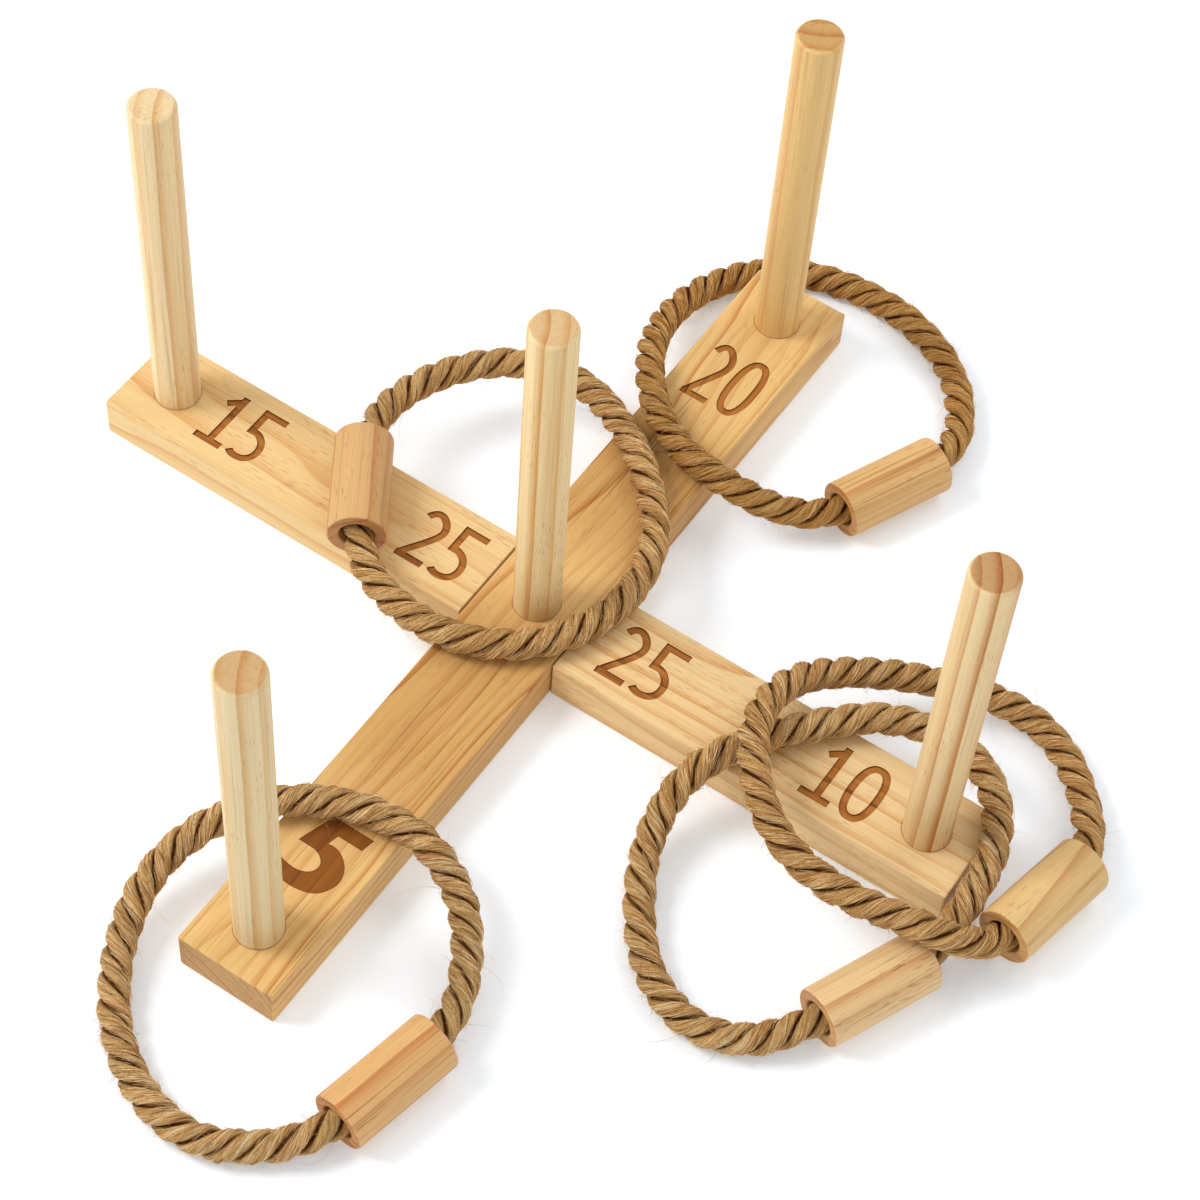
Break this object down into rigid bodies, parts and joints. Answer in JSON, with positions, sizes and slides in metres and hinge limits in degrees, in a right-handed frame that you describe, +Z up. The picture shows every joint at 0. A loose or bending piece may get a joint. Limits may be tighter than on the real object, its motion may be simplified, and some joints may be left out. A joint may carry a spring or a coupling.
{
  "type": "ring toss set",
  "caption": "Garden ring toss set: a flat wooden cross with engraved scores, upright pegs and rope rings, each closed by a wooden sleeve.",
  "frame": {"origin": "on the ground under the middle peg, where the two arms meet the long beam", "axes": "+X along the arm with the scores 25 and 10, +Y along the long beam towards the score 20, +Z up along the pegs"},
  "size_m": [0.5576, 0.6157, 0.234],
  "materials": {
    "beam_wood": "sanded, unvarnished",
    "arm_wood": "sanded, unvarnished",
    "dowel_wood": "sanded",
    "peg_wood": "sanded, unvarnished",
    "sleeve_wood": "turned, unvarnished",
    "rope": "laid natural fibre"
  },
  "bodies": {
    "long_beam": {"long_beam": "beam_wood"},
    "left_arm": {"left_arm": "arm_wood", "left_arm_dowel_front": "dowel_wood", "left_arm_dowel_back": "dowel_wood"},
    "right_arm": {"right_arm": "arm_wood", "right_arm_dowel_front": "dowel_wood", "right_arm_dowel_back": "dowel_wood"},
    "peg_5": {"peg_5": "peg_wood"},
    "peg_20": {"peg_20": "peg_wood"},
    "peg_25": {"peg_25": "peg_wood"},
    "peg_15": {"peg_15": "peg_wood"},
    "peg_10": {"peg_10": "peg_wood"},
    "ring_5": {"ring_5_rope": "rope", "ring_5_sleeve": "sleeve_wood"},
    "ring_20": {"ring_20_rope": "rope", "ring_20_sleeve": "sleeve_wood"},
    "ring_10_lower": {"ring_10_lower_rope": "rope", "ring_10_lower_sleeve": "sleeve_wood"},
    "ring_10_upper": {"ring_10_upper_rope": "rope", "ring_10_upper_sleeve": "sleeve_wood"},
    "ring_25": {"ring_25_rope": "rope", "ring_25_sleeve": "sleeve_wood"}
  },
  "joints": [
    {"name": "left_arm_pull", "type": "slide", "parent": "long_beam", "child": "left_arm", "axis": [-1, 0, 0], "range_m": [0, 0.02]},
    {"name": "right_arm_pull", "type": "slide", "parent": "long_beam", "child": "right_arm", "axis": [1, 0, 0], "range_m": [0, 0.02]},
    {"name": "peg_5_pull", "type": "slide", "parent": "long_beam", "child": "peg_5", "axis": [0, 0, 1], "range_m": [0, 0.025]},
    {"name": "peg_20_pull", "type": "slide", "parent": "long_beam", "child": "peg_20", "axis": [0, 0, 1], "range_m": [0, 0.025]},
    {"name": "peg_25_pull", "type": "slide", "parent": "long_beam", "child": "peg_25", "axis": [0, 0, 1], "range_m": [0, 0.025]},
    {"name": "peg_15_pull", "type": "slide", "parent": "left_arm", "child": "peg_15", "axis": [0, 0, 1], "range_m": [0, 0.025]},
    {"name": "peg_10_pull", "type": "slide", "parent": "right_arm", "child": "peg_10", "axis": [0, 0, 1], "range_m": [0, 0.025]},
    {"name": "ring_5_lift", "type": "slide", "parent": "long_beam", "child": "ring_5", "axis": [0, 0, 1], "range_m": [0, 0.27]},
    {"name": "ring_20_lift", "type": "slide", "parent": "long_beam", "child": "ring_20", "axis": [0, 0, 1], "range_m": [0, 0.27]},
    {"name": "ring_10_lower_lift", "type": "slide", "parent": "right_arm", "child": "ring_10_lower", "axis": [0, 0, 1], "range_m": [0, 0.27]},
    {"name": "ring_10_upper_lift", "type": "slide", "parent": "ring_10_lower", "child": "ring_10_upper", "axis": [0, 0, 1], "range_m": [0, 0.27]},
    {"name": "ring_25_lift", "type": "slide", "parent": "long_beam", "child": "ring_25", "axis": [0, 0, 1], "range_m": [0, 0.27]}
  ]
}
